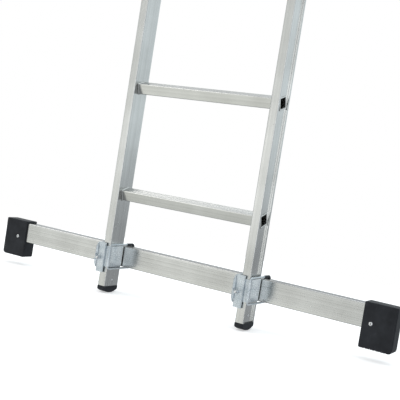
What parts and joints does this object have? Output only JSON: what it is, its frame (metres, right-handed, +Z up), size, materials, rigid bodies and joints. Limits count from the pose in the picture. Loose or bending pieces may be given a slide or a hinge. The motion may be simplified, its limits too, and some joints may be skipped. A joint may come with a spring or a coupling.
{
  "type": "extension ladder",
  "caption": "Two-section extension ladder of hollow stiles and square rungs, with sliding fly, rung hooks, curved feet and a clamped-on stabiliser crossbar",
  "frame": {"origin": "on the floor under the middle of the whole object's bounding box", "axes": "+Z up along the stiles, +X along the rungs to the right, +Y from the climber's side to the wall side, where the crossbar is"},
  "size_m": [1.175, 0.1674, 2.6195],
  "materials": {
    "extruded_aluminium": "mill-finished extrusion, fine lengthwise lines",
    "zinc_plated_steel": "bright zinc plating",
    "black_plastic": "moulded, lightly grained",
    "rivet_steel": "smooth, bright"
  },
  "bodies": {
    "base": {"base_stile_left": "extruded_aluminium", "base_foot_left": "black_plastic", "foot_rivet_left": "rivet_steel", "base_top_cap_left": "black_plastic", "base_guide_left": "extruded_aluminium", "base_guide_rivet_left": "rivet_steel", "base_stile_right": "extruded_aluminium", "base_foot_right": "black_plastic", "foot_rivet_right": "rivet_steel", "base_top_cap_right": "black_plastic", "base_guide_right": "extruded_aluminium", "base_guide_rivet_right": "rivet_steel", "base_rung_1": "extruded_aluminium", "base_rung_2": "extruded_aluminium", "base_rung_3": "extruded_aluminium", "base_rung_4": "extruded_aluminium", "base_rung_5": "extruded_aluminium", "base_rung_6": "extruded_aluminium", "crossbar_beam": "extruded_aluminium", "crossbar_shoe_left": "black_plastic", "crossbar_rivet_left": "rivet_steel", "clamp_left_saddle": "zinc_plated_steel", "clamp_left_plate": "zinc_plated_steel", "clamp_left_bolt": "rivet_steel", "clamp_left_link_outer": "zinc_plated_steel", "clamp_left_sleeve_outer": "black_plastic", "clamp_left_link_inner": "zinc_plated_steel", "clamp_left_sleeve_inner": "black_plastic", "crossbar_shoe_right": "black_plastic", "crossbar_rivet_right": "rivet_steel", "clamp_right_saddle": "zinc_plated_steel", "clamp_right_plate": "zinc_plated_steel", "clamp_right_bolt": "rivet_steel", "clamp_right_link_outer": "zinc_plated_steel", "clamp_right_sleeve_outer": "black_plastic", "clamp_right_link_inner": "zinc_plated_steel", "clamp_right_sleeve_inner": "black_plastic"},
    "fly": {"fly_stile_left": "extruded_aluminium", "fly_top_cap_left": "black_plastic", "fly_bottom_cap_left": "black_plastic", "fly_guide_left": "extruded_aluminium", "fly_guide_rivet_left": "rivet_steel", "fly_hook_pin_left": "rivet_steel", "fly_stile_right": "extruded_aluminium", "fly_top_cap_right": "black_plastic", "fly_bottom_cap_right": "black_plastic", "fly_guide_right": "extruded_aluminium", "fly_guide_rivet_right": "rivet_steel", "fly_hook_pin_right": "rivet_steel", "fly_rung_1": "extruded_aluminium", "fly_rung_2": "extruded_aluminium", "fly_rung_3": "extruded_aluminium", "fly_rung_4": "extruded_aluminium", "fly_rung_5": "extruded_aluminium", "fly_rung_6": "extruded_aluminium"},
    "hook_left": {"fly_hook_left": "zinc_plated_steel"},
    "hook_right": {"fly_hook_right": "zinc_plated_steel"},
    "wing_nut_left": {"clamp_left_wing_nut": "zinc_plated_steel"},
    "wing_nut_right": {"clamp_right_wing_nut": "zinc_plated_steel"}
  },
  "joints": [
    {"name": "fly_slide", "type": "slide", "parent": "base", "child": "fly", "axis": [0, 0, 1], "range_m": [-0.56, 0.28]},
    {"name": "hook_left_pivot", "type": "hinge", "parent": "fly", "child": "hook_left", "pos_m": [-0.1342, -0.0372, 1.1475], "axis": [1, 0, 0], "range_deg": [-115, 0]},
    {"name": "hook_right_pivot", "type": "hinge", "parent": "fly", "child": "hook_right", "pos_m": [0.1932, -0.0372, 1.1475], "axis": [1, 0, 0], "range_deg": [-115, 0]},
    {"name": "wing_nut_left_turn", "type": "hinge", "parent": "base", "child": "wing_nut_left", "pos_m": [-0.1915, -0.0277, 0.0905], "axis": [0, 1, 0], "continuous": true},
    {"name": "wing_nut_right_turn", "type": "hinge", "parent": "base", "child": "wing_nut_right", "pos_m": [0.221, -0.0277, 0.0905], "axis": [0, 1, 0], "continuous": true}
  ]
}
